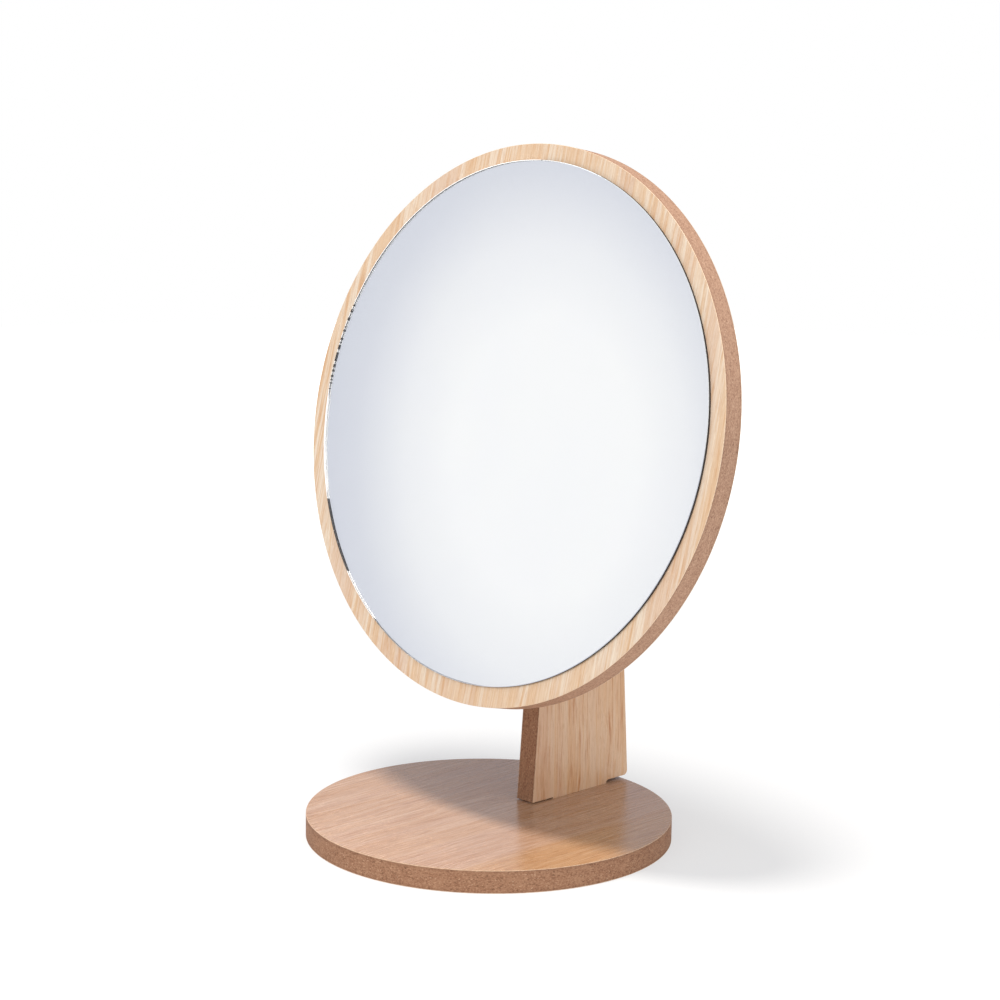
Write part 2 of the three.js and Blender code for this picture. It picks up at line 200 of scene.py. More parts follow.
def add_world():
    """A white studio. Light that has met a matt surface sees a dim room with a large soft light at the
    right of the front; gloss and glass see a blue-grey wall with a bright oval on it, white below it, and
    that same light."""
    world = bpy.data.worlds.new("studio")
    bpy.context.scene.world = world
    world.use_nodes = True
    graph = Graph(world.node_tree)
    direction = graph.add("ShaderNodeTexCoord").outputs["Generated"]

    def component(axis):
        inputs = {0: direction, 1: axis}
        return graph.add("ShaderNodeVectorMath", inputs, operation="DOT_PRODUCT").outputs["Value"]

    height = graph.add("ShaderNodeSeparateXYZ", {0: direction}).outputs["Z"]
    wall = graph.mix(graph.ramp(height, (0.22, 0.0), (0.9, 1.0)), WALL, WALL_HIGH)
    squares = []
    for axis, centre, reach in zip((GLOW_ACROSS, GLOW_UP), GLOW_MIDDLE, GLOW_REACH):
        offset = graph.math("DIVIDE", graph.math("SUBTRACT", component(axis), centre), reach * GLOW_FADE)
        squares.append(graph.math("MULTIPLY", offset, offset))
    off_middle = graph.math("SQRT", graph.math("ADD", *squares))
    glow = graph.ramp(off_middle, *GLOW_PROFILE, blend="LINEAR")
    front = graph.ramp(component(GLOW_ACROSS.cross(GLOW_UP)), (0.4, 0.0), (0.6, 1.0))
    wall = graph.mix(graph.math("MULTIPLY", glow, front), wall, GLOW_COLOUR)
    wall = graph.mix(graph.ramp(height, (0.0, 1.0), (0.02, 0.0)), wall, srgb(250, 250, 250))
    fill = component(heading(FILL_AZIMUTH, FILL_ELEVATION))
    wall = graph.mix(graph.ramp(fill, (0.75, 0.0), (0.9, 1.0)), wall, FILL_PATCH)
    room = graph.mix(graph.ramp(fill, (0.0, 0.0), (1.0, 1.0)), FILL_DIM, FILL_BRIGHT)
    rays = graph.add("ShaderNodeLightPath").outputs
    seen = graph.mix(graph.math("GREATER_THAN", rays["Diffuse Depth"], 0.5), wall, room)
    seen = graph.mix(rays["Is Camera Ray"], seen, WHITE)
    graph.feed(graph.nodes["Background"].inputs["Color"], seen)


def add_floor():
    surface = bpy.data.materials.new("floor")
    surface.use_nodes = True
    graph = Graph(surface.node_tree)
    shader = graph.nodes["Principled BSDF"]
    place = graph.add("ShaderNodeTexCoord").outputs["Object"]
    far = graph.add("ShaderNodeVectorMath", {0: place}, operation="LENGTH").outputs["Value"]
    glow = graph.ramp(far, (GLOW_RISES_FROM, FLOOR_GLOW), (1.0, RIM_GLOW))
    graph.feed(shader.inputs["Emission Strength"], glow)
    paper = graph.noise(place, (PAPER_GRAIN, PAPER_GRAIN, PAPER_GRAIN), 2)
    relief = graph.add("ShaderNodeBump", {"Height": paper, "Distance": PAPER_DEPTH})
    graph.feed(shader.inputs["Normal"], relief.outputs[0])
    shader.inputs["Base Color"].default_value = (FLOOR_GREY, FLOOR_GREY, FLOOR_GREY, 1.0)
    shader.inputs["Emission Color"].default_value = WHITE
    shader.inputs["Roughness"].default_value = 1.0
    shader.inputs["Specular IOR Level"].default_value = 0.0
    sheet = bmesh.new()
    bmesh.ops.create_circle(sheet, cap_ends=True, segments=96, radius=FLOOR_RADIUS)
    data = bpy.data.meshes.new("floor")
    sheet.to_mesh(data)
    data.materials.append(surface)
    floor = add_object("floor", data)


bpy.context.scene.view_settings.view_transform = "Standard"
add_camera()
add_key_light()
add_world()
add_floor()

# ---------------------------------------------------------------- finishes

# Copies of one wood-grain laminate, toned apart for how light falls on each part: lighter on the mirror board
# (painted light), darker on the upright and darker still on the base (painted shade).
BOARD_PRINT_LIT = {
    "cream": srgb(210, 195, 176),
    "honey": srgb(200, 170, 138),
    "rose": srgb(198, 172, 150),
    "flame": srgb(184, 139, 98),
    "pore": srgb(164, 120, 86),
}
UPRIGHT_PRINT_SHADED = {
    "cream": srgb(217, 184, 152),
    "honey": srgb(211, 168, 127),
    "rose": srgb(205, 167, 138),
    "flame": srgb(176, 114, 68),
    "pore": srgb(164, 108, 68),
}
BASE_PRINT_SHADED = {
    "cream": srgb(186, 153, 128),
    "honey": srgb(176, 136, 104),
    "rose": srgb(173, 136, 112),
    "flame": srgb(146, 102, 70),
    "pore": srgb(134, 94, 68),
}
# Towards +X the base's print is darkened and warmed: painted shade and warm reflection on that side.
WARM_SHADE_TINT = [0.98, 0.91, 0.75, 1.0]
WARM_SHADE_SPAN = (52, 66)
# Cut laminate edges: pale paper, whose paleness also stands in for the highlight along the arris (painted
# highlight); the board's copy is lighter than the stand's (painted light).
BOARD_PAPER_LIT = (srgb(222, 198, 170), srgb(206, 170, 132))
STAND_PAPER = (srgb(204, 172, 142), srgb(172, 132, 102))
BASE_MDF = {
    "dark": srgb(100, 68, 51),
    "brown": srgb(150, 108, 82),
    "pale": srgb(182, 141, 111),
    "fibre": srgb(214, 178, 146),
}
# The mirror board's copy of the same MDF, made lighter for the light on its edge: painted light.
BOARD_MDF_LIT = {
    "dark": srgb(124, 90, 72),
    "brown": srgb(172, 134, 110),
    "pale": srgb(198, 162, 136),
    "fibre": srgb(216, 184, 156),
}


class Finish(Graph):
    """A Principled material. Its `place` is a point of the mesh, in millimetres in one of the two frames."""

    def __init__(self, name, frame_of, **sockets):
        self.material = bpy.data.materials.new(name)
        self.material.use_nodes = True
        super().__init__(self.material.node_tree)
        self.shader = self.nodes["Principled BSDF"]
        location, rotation, scale = frame_of.decompose()
        inputs = {
            "Vector": self.add("ShaderNodeTexCoord").outputs["Object"],
            "Location": location,
            "Rotation": rotation.to_euler(),
            "Scale": scale,
        }
        self.place = self.add("ShaderNodeMapping", inputs, vector_type="TEXTURE").outputs[0]
        for socket, value in sockets.items():
            self.set(socket.replace("_", " "), value)

    def set(self, socket, value):
        self.feed(self.shader.inputs[socket], value)

    def bump(self, height, depth, strength=1.0):
        """Relief of `depth` millimetres."""
        inputs = {"Height": height, "Distance": depth * MM, "Strength": strength}
        self.set("Normal", self.add("ShaderNodeBump", inputs).outputs[0])


def along(axis, lengthwise, crosswise):
    """Noise scales for streaks that run along an axis."""
    scales = [crosswise] * 3
    scales["xyz".index(axis)] = lengthwise
    return scales


def wood_print(name, frame_of, grain, shift, ink, figure, fineness, breadth, warm_shade=None):
    """A satin wood-grain laminate: wide and narrow bands, fine streaks, soft flames and short pores. The
    figure is how strongly the flames show, the fineness how strongly the streaks do, and the breadth how
    strongly the wide bands do. From one place to another on X it may be darkened and warmed: painted shade
    and warm reflection."""
    finish = Finish(name, frame_of)
    sway = finish.noise(finish.place, along(grain, 0.012, 0.02), 2, shift=shift)
    sway = finish.math("MULTIPLY", finish.math("SUBTRACT", sway, 0.5), 7.0)
    place = finish.add("ShaderNodeVectorMath", {0: finish.place, 1: sway}, operation="ADD").outputs[0]
    tone = finish.noise(place, along(grain, 0.004, 0.06), 2, shift=shift + 11)
    bands = finish.noise(place, along(grain, 0.010, 0.42), 3, 0.6, shift + 23)
    streaks = finish.noise(place, along(grain, 0.045, 1.9), 3, 0.65, shift + 37)
    flames = finish.noise(place, along(grain, 0.042, 0.60), 3, 0.55, shift + 41)
    gathering = finish.math("MULTIPLY", finish.math("SUBTRACT", bands, 0.5), 0.45)
    flames = finish.math("ADD", flames, gathering)
    pores = finish.noise(place, along(grain, 0.16, 3.0), 1, 0.5, shift + 53)

    colour = finish.mix(finish.ramp(bands, (0.36, 0.0), (0.64, 1.0)), ink["cream"], ink["honey"])
    colour = finish.mix(finish.ramp(tone, (0.50, 0.0), (0.62, breadth)), colour, ink["rose"])
    colour = finish.mix(finish.ramp(tone, (0.38, breadth), (0.50, 0.0)), colour, ink["honey"])
    colour = finish.mix(finish.ramp(flames, (0.50, 0.0), (0.76, figure)), colour, ink["flame"])
    colour = finish.mix(finish.ramp(streaks, (0.32, fineness), (0.56, 0.0)), colour, ink["flame"])
    colour = finish.mix(finish.ramp(streaks, (0.52, 0.0), (0.72, fineness)), colour, ink["cream"])
    dents = finish.ramp(pores, (0.60, 0.0), (0.72, 1.0))
    colour = finish.mix(finish.math("MULTIPLY", dents, 0.4), colour, ink["pore"])
    # Painted shade and warm reflection: darker and warmer towards +X.
    if warm_shade:
        across = finish.add("ShaderNodeSeparateXYZ", {0: place}).outputs["X"]
        reach = finish.math("DIVIDE", finish.math("SUBTRACT", across, warm_shade[0]), warm_shade[1] - warm_shade[0])
        colour = finish.mix(finish.ramp(reach, (0.0, 0.0), (1.0, 1.0)), colour, WARM_SHADE_TINT, "MULTIPLY")
    finish.set("Base Color", colour)
    finish.set("Roughness", finish.ramp(streaks, (0.3, 0.20), (0.7, 0.30)))
    relief = finish.math("SUBTRACT", finish.math("MULTIPLY", streaks, 0.5), dents)
    finish.bump(relief, 0.012)
    return finish.material


def laminate_edge(name, frame_of, paper, shade):
    """The cut edge of the laminate: pale paper layers with the odd scuff. Its paleness also stands in for the
    highlight along the arris: painted highlight.
    """
    finish = Finish(name, frame_of)
    scuffs = finish.noise(finish.place, (0.6, 0.6, 0.6), 3, 0.6)
    colour = finish.mix(finish.ramp(scuffs, (0.4, 0.0), (0.7, 0.8)), paper, shade)
    finish.set("Base Color", colour)
    finish.set("Roughness", finish.ramp(scuffs, (0.3, 0.45), (0.7, 0.7)))
    finish.bump(scuffs, 0.03)
    return finish.material


def raw_mdf(name, frame_of, thickness, faces, fibre):
    """Sawn MDF: felted fibres that lie flat in the board, chips and specks, denser towards both faces."""
    finish = Finish(name, frame_of, Specular_IOR_Level=0.25)
    felt = finish.noise(finish.place, along(thickness, 1.5, 0.9), 4, 0.75)
    coarse = finish.noise(finish.place, along(thickness, 0.5, 0.16), 3, 0.5, 17)
    squashed = {"Vector": finish.place, "Scale": along(thickness, 1.3, 0.75)}
    stretched = finish.add("ShaderNodeMapping", squashed).outputs[0]
    chips = finish.add("ShaderNodeTexVoronoi", {"Vector": stretched, "Scale": 1.0, "Randomness": 1.0})
    near = finish.ramp(chips.outputs["Distance"], (0.18, 1.0), (0.42, 0.0))
    chance = finish.add("ShaderNodeSeparateColor", {0: chips.outputs["Color"]}).outputs
    dark = finish.math("MULTIPLY", near, finish.math("GREATER_THAN", chance[0], 0.80))
    pale = finish.math("MULTIPLY", near, finish.math("GREATER_THAN", chance[1], 0.93))

    colour = finish.ramp(felt, (0.32, fibre["dark"]), (0.50, fibre["brown"]), (0.68, fibre["pale"]))
    colour = finish.mix(finish.ramp(coarse, (0.35, 0.0), (0.7, 0.3)), colour, fibre["pale"])
    colour = finish.mix(finish.math("MULTIPLY", dark, 0.7), colour, fibre["dark"])
    colour = finish.mix(finish.math("MULTIPLY", pale, 0.6), colour, fibre["fibre"])
    depth = finish.add("ShaderNodeSeparateXYZ", {0: finish.place}).outputs["XYZ".index(thickness.upper())]
    middle, half = (faces[0] + faces[1]) / 2, (faces[1] - faces[0]) / 2
    distance = finish.math("ABSOLUTE", finish.math("SUBTRACT", depth, middle))
    off_centre = finish.math("DIVIDE", distance, half)
    colour = finish.mix(finish.ramp(off_centre, (0.62, 0.0), (1.0, 0.25)), colour, fibre["dark"])
    finish.set("Base Color", colour)
    finish.set("Roughness", finish.ramp(felt, (0.3, 0.95), (0.7, 0.75)))
    finish.bump(finish.math("SUBTRACT", felt, finish.math("MULTIPLY", dark, 0.5)), 0.08)
    return finish.material


def clear_glass():
    """Float glass: clear, with the faintest waviness."""
    finish = Finish("glass_clear", TILTED, Roughness=0.0, IOR=1.52, Transmission_Weight=1.0)
    waves = finish.noise(finish.place, (0.02, 0.02, 0.02), 1)
    tint = finish.ramp(waves, (0.3, [0.988, 0.992, 0.990, 1.0]), (0.7, [0.990, 0.993, 0.991, 1.0]))
    finish.set("Base Color", tint)
    finish.bump(waves, 0.002)
    return finish.material


def ground_glass():
    """The ground arris: frosted white, with coarse and fine grinding marks."""
    finish = Finish("glass_ground_edge", TILTED, Roughness=0.5, IOR=1.52)
    grit = finish.noise(finish.place, (2.5, 2.5, 2.5), 4, 0.7)
    finish.set("Base Color", finish.ramp(grit, (0.3, srgb(236, 238, 242)), (0.55, srgb(254, 254, 254))))
    finish.bump(grit, 0.15)
    return finish.material


def painted_shade_edge():
    """Painted shade on the glass's edge: a dark finish on the arris and rim that stands in for its shade and
    dark reflections.
    """
    finish = Finish("glass_painted_shade_edge", TILTED)
    mottle = finish.noise(finish.place, (1.5, 1.5, 1.5), 3, 0.6)
    finish.set("Base Color", finish.ramp(mottle, (0.3, srgb(24, 20, 20)), (0.7, srgb(44, 39, 38))))
    finish.set("Roughness", finish.ramp(mottle, (0.3, 0.4), (0.7, 0.6)))
    finish.bump(mottle, 0.03)
    return finish.material


def silver_coat():
    """Silver seen through the glass, very slightly clouded."""
    finish = Finish("silver_coat", TILTED, Metallic=1.0)
    cloud = finish.noise(finish.place, (0.015, 0.015, 0.015), 4, 0.6)
    finish.set("Base Color", finish.ramp(cloud, (0.3, srgb(249, 250, 252)), (0.7, srgb(250, 251, 252))))
    finish.set("Roughness", finish.ramp(cloud, (0.3, 0.0), (0.7, 0.006)))
    return finish.material


def backing_paint():
    finish = Finish("mirror_backing_paint", TILTED)
    rolled = finish.noise(finish.place, (0.4, 0.4, 0.4), 4, 0.6)
    finish.set("Base Color", finish.ramp(rolled, (0.3, srgb(92, 84, 78)), (0.7, srgb(116, 108, 101))))
    finish.set("Roughness", finish.ramp(rolled, (0.3, 0.5), (0.7, 0.7)))
    finish.bump(rolled, 0.03)
    return finish.material


def soft_film():
    finish = Finish("adhesive_film", TILTED)
    cells = finish.noise(finish.place, (1.2, 1.2, 1.2), 4, 0.6)
    finish.set("Base Color", finish.ramp(cells, (0.3, srgb(208, 204, 192)), (0.7, srgb(228, 225, 214))))
    finish.set("Roughness", finish.ramp(cells, (0.3, 0.5), (0.7, 0.75)))
    finish.bump(cells, 0.05)
    return finish.material


def zinc_plate(frame_of):
    """Zinc-plated steel: rolled streaks, a faint spangle and fine scratches."""
    finish = Finish("zinc_plate_" + ("stand" if frame_of is STAND else "tilting"), frame_of, Metallic=1.0)
    spangle = finish.noise(finish.place, (0.5, 0.5, 0.5), 3, 0.6)
    rolled = finish.noise(finish.place, (0.4, 0.4, 6.0), 2, 0.6, 7)
    grain = finish.noise(finish.place, (5.0, 5.0, 5.0), 3, 0.7, 13)
    colour = finish.ramp(spangle, (0.3, srgb(196, 199, 203)), (0.7, srgb(212, 213, 214)))
    colour = finish.mix(finish.ramp(grain, (0.6, 0.0), (0.8, 0.25)), colour, srgb(168, 168, 166))
    finish.set("Base Color", colour)
    mixed = finish.math("ADD", finish.math("MULTIPLY", rolled, 0.6), finish.math("MULTIPLY", grain, 0.4))
    finish.set("Roughness", finish.ramp(mixed, (0.3, 0.24), (0.7, 0.42)))
    finish.bump(mixed, 0.02)
    return finish.material


def natural_nylon():
    finish = Finish("nylon_natural", TILTED)
    haze = finish.noise(finish.place, (0.8, 0.8, 0.8), 4, 0.6)
    finish.set("Base Color", finish.ramp(haze, (0.3, srgb(222, 218, 204)), (0.7, srgb(240, 238, 229))))
    finish.set("Roughness", finish.ramp(haze, (0.3, 0.38), (0.7, 0.55)))
    finish.bump(haze, 0.03)
    return finish.material


def moulded_black():
    """Spark-textured black plastic, worn smoother and greyer in places."""
    finish = Finish("plastic_black_textured", TILTED)
    sparks = finish.noise(finish.place, (4.5, 4.5, 4.5), 3, 0.6)
    rubbed = finish.noise(finish.place, (0.12, 0.12, 0.12), 3, 0.6, 5)
    finish.set("Base Color", finish.ramp(rubbed, (0.35, srgb(26, 26, 28)), (0.7, srgb(42, 42, 44))))
    finish.set("Roughness", finish.ramp(rubbed, (0.35, 0.55), (0.7, 0.38)))
    finish.bump(sparks, 0.05)
    return finish.material


def turned_brass():
    finish = Finish("brass_turned", TILTED, Metallic=1.0)
    rings = finish.noise(finish.place, (6.0, 0.5, 0.5), 2, 0.6)
    tarnish = finish.noise(finish.place, (0.3, 0.3, 0.3), 3, 0.6, 9)
    finish.set("Base Color", finish.ramp(tarnish, (0.3, srgb(206, 168, 88)), (0.7, srgb(176, 136, 66))))
    finish.set("Roughness", finish.ramp(rings, (0.3, 0.2), (0.7, 0.4)))
    finish.bump(rings, 0.02)
    return finish.material


# ---------------------------------------------------------------- mesh tools


def span(node, frame_of=STAND):
    """The lowest and highest corners of a CAD node at rest, in millimetres in one of the two frames."""
    back = frame_of.inverted()
    corners = [back @ v.co for v in frame["nodes"][node].data.vertices]
    low = Vector([min(c[i] for c in corners) for i in range(3)])
    high = Vector([max(c[i] for c in corners) for i in range(3)])
    return low, high


def circle(radius, count, centre=(0.0, 0.0)):
    """A round outline. The radius may be a function of the angle."""
    outline = []
    for i in range(count):
        angle = math.tau * i / count
        reach = radius(angle) if callable(radius) else radius
        outline.append(Vector((centre[0] + reach * math.cos(angle), centre[1] + reach * math.sin(angle))))
    return outline


def arc(centre, radius, start, end, count):
    """Points on an arc, both ends included."""
    angles = [start + (end - start) * i / (count - 1) for i in range(count)]
    return [Vector((centre[0] + radius * math.cos(a), centre[1] + radius * math.sin(a))) for a in angles]


def rounded_box(half_width, half_height, radius, count=6, centre=(0.0, 0.0)):
    outline = []
    for quarter, (right, top) in enumerate(((1, 1), (-1, 1), (-1, -1), (1, -1))):
        corner = (centre[0] + right * (half_width - radius), centre[1] + top * (half_height - radius))
        start = quarter * math.pi / 2
        outline += arc(corner, radius, start, start + math.pi / 2, count)
    return outline


def inset(outline, distance):
    """An outline moved inwards, or outwards where the distance is negative."""
    moved = []
    for i, point in enumerate(outline):
        before = (point - outline[i - 1]).normalized()
        after = (outline[(i + 1) % len(outline)] - point).normalized()
        inwards = [Vector((-side.y, side.x)) for side in (before, after)]
        moved.append(point + (inwards[0] + inwards[1]) * distance / (1 + inwards[0].dot(inwards[1])))
    return moved


def rounding(radius, steps=3):
    """How far in and how far along each line of a rounded edge lies, from the face to the side."""
    angles = [math.pi / 2 * i / steps for i in range(steps + 1)]
    return [(radius * (1 - math.sin(a)), radius * (1 - math.cos(a))) for a in angles]


class Shell:
    """A closed surface sewn together from loops of points. An outline is drawn across an axis: as (y, z)
    across x, (z, x) across y, and (x, y) across z."""

    def __init__(self, axis):
        self.mesh = bmesh.new()
        self.axis = "xyz".index(axis)

    def loop(self, outline, place):
        corners = []
        for first, second in outline:
            corner = [0.0, 0.0, 0.0]
            corner[self.axis] = place
            corner[(self.axis + 1) % 3] = first
            corner[(self.axis + 2) % 3] = second
            corners.append(self.mesh.verts.new(corner))
        return corners

    def wall(self, *loops, finish=0):
        for near, far in zip(loops, loops[1:]):
            for i in range(len(near)):
                face = self.mesh.faces.new((near[i - 1], near[i], far[i], far[i - 1]))
                face.smooth = True
                face.material_index = finish

    def cap(self, outer, *holes, finish=0):
        if not holes:
            self.mesh.faces.new(outer).material_index = finish
            return
        corners = [corner for loop in (outer, *holes) for corner in loop]
        for triangle in tessellate_polygon([[c.co for c in loop] for loop in (outer, *holes)]):
            self.mesh.faces.new([corners[i] for i in triangle]).material_index = finish

    def lathe(self, profile, count=96, centre=(0.0, 0.0), closed=False, finish=0):
        """Turns (radius, place) points, either a closed ring or a body with flat ends."""
        loops = [self.loop(circle(radius, count, centre), place) for radius, place in profile]
        if closed:
            self.wall(*loops, loops[0], finish=finish)
        else:
            self.wall(*loops, finish=finish)
            self.cap(loops[0], finish=finish)
            self.cap(loops[-1], finish=finish)
        return self

    def slab(self, outline, places, edges=(0.0, 0.0), holes=(), finishes=(0, 0, 0)):
        """A plate between two places on the axis with softened edges. Each hole is a pair of outlines, one
        at each face. The finishes are those of the near face, the side and the far face."""
        near, far = places
        start = [(i, near + rise) for i, rise in rounding(edges[0])] if edges[0] else [(0.0, near)]
        end = [(i, far - rise) for i, rise in reversed(rounding(edges[1]))] if edges[1] else [(0.0, far)]
        loops = [self.loop(inset(outline, i), place) for i, place in start + end]
        openings = [(self.loop(first, near), self.loop(last, far)) for first, last in holes]
        self.wall(*loops, finish=finishes[1])
        for opening in openings:
            self.wall(*opening, finish=finishes[1])
        self.cap(loops[0], *[opening[0] for opening in openings], finish=finishes[0])
        self.cap(loops[-1], *[opening[1] for opening in openings], finish=finishes[2])
        return self


SHARP = math.radians(38)


def finer(node, shell, frame_of, slot, *finishes):
    """Puts a mesh in place of a CAD node: on its body, with its finishes. The slot is not used."""
    mesh = shell.mesh
    mesh.transform(frame_of)
    bmesh.ops.recalc_face_normals(mesh, faces=mesh.faces)
    for edge in mesh.edges:
        edge.smooth = edge.calc_face_angle(0.0) < SHARP
    data = bpy.data.meshes.new(node + "_fine")
    mesh.to_mesh(data)
    mesh.free()
    for finish in finishes:
        data.materials.append(finish)
    made = add_object(node + "_fine", data)
    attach(made, BODY_OF[node])
    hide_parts(node)
    return made


def bored(piece, *tools):
    """Cuts other meshes out of a piece."""
    for tool in tools:
        cutter = piece.modifiers.new("bore", "BOOLEAN")
        cutter.operation = "DIFFERENCE"
        cutter.solver = "EXACT"
        cutter.object = tool
    bpy.context.view_layer.update()
    evaluated = piece.evaluated_get(bpy.context.evaluated_depsgraph_get())
    data = bpy.data.meshes.new_from_object(evaluated)
    piece.modifiers.clear()
    piece.data = data
    for tool in tools:
        bpy.data.objects.remove(tool)


# ---------------------------------------------------------------- boards

BIG_DISC = 384
HOLE = 48
ARRIS = 0.12
SKIN = 0.345
GLUE = 0.002
MORTISE_HALF_WIDTH = 6.2
MORTISE_HALF_LENGTH = 20.2
MORTISE_CORNER = 0.4
MORTISE_MIDDLE = (0.0, 61.6)
MORTISE_FLOOR = 7.0
BASE_SCREW_HOLE = 2.15
BASE_SCREW_WELL = 4.3
WELL_RIM = 0.35
DRILLED_TO = 35.0
DRILL_TIP = (0.2, 41.0)
UPRIGHT_FRONT = 26.35
UPRIGHT_REAR = 98.0
FRONT_LEAN = math.radians(4.2)
REAR_LEAN = math.radians(3.9)
TAB = (41.6, 81.6)
FRONT_GAP = 0.65
REAR_GAP = 1.7
REAR_CORNER = 2.5
PIVOT_HOLE = 3.25
PILOT_HOLE = 1.9
PILOT_ROOM = 0.4

WOOD_BASE = wood_print("wood_print_base", STAND, "y", 3, BASE_PRINT_SHADED, 0.6, 0.34, 0.5, WARM_SHADE_SPAN)
WOOD_UPRIGHT = wood_print("wood_print_upright", STAND, "z", 71, UPRIGHT_PRINT_SHADED, 0.8, 0.14, 0.6)
WOOD_BOARD = wood_print("wood_print_board", TILTED, "z", 139, BOARD_PRINT_LIT, 0.6, 0.26, 0.7)
EDGE_STAND = laminate_edge("laminate_edge_stand", STAND, *STAND_PAPER)
EDGE_BOARD = laminate_edge("laminate_edge_board", TILTED, *BOARD_PAPER_LIT)


def middle(node, frame_of=STAND):
    low, high = span(node, frame_of)
    return (low + high) / 2


BASE_SCREWS = ("base_screw_front", "base_screw_rear")
BRACKET_SCREWS = [
    f"{side}_bracket_{level}_screw" for side in ("left", "right") for level in ("upper", "lower")
]


def build_base():
    """The base: a mortise from above for the upright's tab, and a countersunk hole from below for each of
    the two screws."""
    radius = span("base_core")[1].x
    bottom = span("base_underside_laminate")[0].z
    top = span("base_top_laminate")[1].z
    outline = circle(radius, BIG_DISC)
    mortise = rounded_box(MORTISE_HALF_WIDTH, MORTISE_HALF_LENGTH, MORTISE_CORNER, 5, MORTISE_MIDDLE)
    places = [middle(node).xy for node in BASE_SCREWS]
    wells = [circle(BASE_SCREW_WELL, HOLE, place) for place in places]
    bores = [circle(BASE_SCREW_HOLE, HOLE, place) for place in places]
    cone = WELL_RIM + BASE_SCREW_WELL - BASE_SCREW_HOLE

    shell = Shell("z")
    outer = [shell.loop(outline, place) for place in (bottom + SKIN, top - SKIN)]
    shell.wall(*outer)
    mouth = shell.loop(mortise, top - SKIN)
    pit = shell.loop(mortise, MORTISE_FLOOR)
    shell.wall(mouth, pit)
    shell.cap(outer[1], mouth)
    lower, upper = [], []
    for well, bore in zip(wells, bores):
        steps = [shell.loop(well, bottom + SKIN), shell.loop(bore, cone), shell.loop(bore, MORTISE_FLOOR)]
        shell.wall(*steps)
        lower.append(steps[0])
        upper.append(steps[-1])
    shell.cap(outer[0], *lower)
    shell.cap(pit, *upper)
    mdf = raw_mdf("mdf_base", STAND, "z", (bottom, top), BASE_MDF)
    finer("base_core", shell, STAND, "mdf", mdf)

    skin = (top - SKIN + GLUE, top)
    face = Shell("z").slab(outline, skin, (0.0, ARRIS), [(mortise, mortise)], (0, 1, 0))
    finer("base_top_laminate", face, STAND, "wood_laminate", WOOD_BASE, EDGE_STAND)
    skin = (bottom, bottom + SKIN - GLUE)
    openings = [(well, well) for well in wells]
    face = Shell("z").slab(outline, skin, (ARRIS, 0.0), openings, (0, 1, 0))
    finer("base_underside_laminate", face, STAND, "wood_laminate", WOOD_BASE, EDGE_STAND)


def upright_outline():
    """The upright from the side: a tab between two shoulders that stand just clear of the base, and two
    edges that lean together up to a round top about the pivot."""
    low, high = span("upright_core")
    pivot_y, pivot_z = PIVOT.y / MM, PIVOT.z / MM
    top_radius = high.z - pivot_z
    base_top = span("base_top_laminate")[1].z
    front_y = UPRIGHT_FRONT + FRONT_GAP * math.tan(FRONT_LEAN)
    corner_z = base_top + REAR_GAP + REAR_CORNER
    rear_y = UPRIGHT_REAR - (corner_z - base_top) * math.tan(REAR_LEAN)
    corner_y = rear_y - REAR_CORNER / math.cos(REAR_LEAN)
    outline = [Vector((front_y, base_top + FRONT_GAP))]
    outline += arc((TAB[0] - FRONT_GAP, base_top), FRONT_GAP, math.pi / 2, 0, 5)
    outline += [Vector((TAB[0], low.z)), Vector((TAB[1], low.z))]
    outline += arc((TAB[1] + REAR_GAP, base_top), REAR_GAP, math.pi, math.pi / 2, 9)
    outline += arc((corner_y, corner_z), REAR_CORNER, -math.pi / 2, REAR_LEAN, 13)
    outline += arc((pivot_y, pivot_z), top_radius, REAR_LEAN, math.pi - FRONT_LEAN, 97)
    return outline


def drill(node):
    """A drill bit that bores the upright for one of the base's screws."""
    profile = [(BASE_SCREW_HOLE, 0.0), (BASE_SCREW_HOLE, DRILLED_TO), DRILL_TIP]
    bit = Shell("z").lathe(profile, HOLE, middle(node).xy)
    bit.mesh.transform(STAND)
    bmesh.ops.recalc_face_normals(bit.mesh, faces=bit.mesh.faces)
    data = bpy.data.meshes.new("drill")
    bit.mesh.to_mesh(data)
    return add_object("drill_" + node, data)


def build_upright():
    outline = upright_outline()
    left = span("upright_left_laminate")[0].x
    right = span("upright_right_laminate")[1].x
    hole = circle(PIVOT_HOLE, HOLE, (PIVOT.y / MM, PIVOT.z / MM))
    holes = [(hole, hole)]
    mdf = raw_mdf("mdf_upright", STAND, "x", (left, right), BASE_MDF)
    core = Shell("x").slab(outline, (left + SKIN, right - SKIN), holes=holes)
    core = finer("upright_core", core, STAND, "mdf", mdf)
    bored(core, *[drill(node) for node in BASE_SCREWS])
    face = Shell("x").slab(outline, (left, left + SKIN - GLUE), (ARRIS, 0.0), holes, (0, 1, 0))
    finer("upright_left_laminate", face, STAND, "wood_laminate", WOOD_UPRIGHT, EDGE_STAND)
    face = Shell("x").slab(outline, (right - SKIN + GLUE, right), (0.0, ARRIS), holes, (0, 1, 0))
    finer("upright_right_laminate", face, STAND, "wood_laminate", WOOD_UPRIGHT, EDGE_STAND)


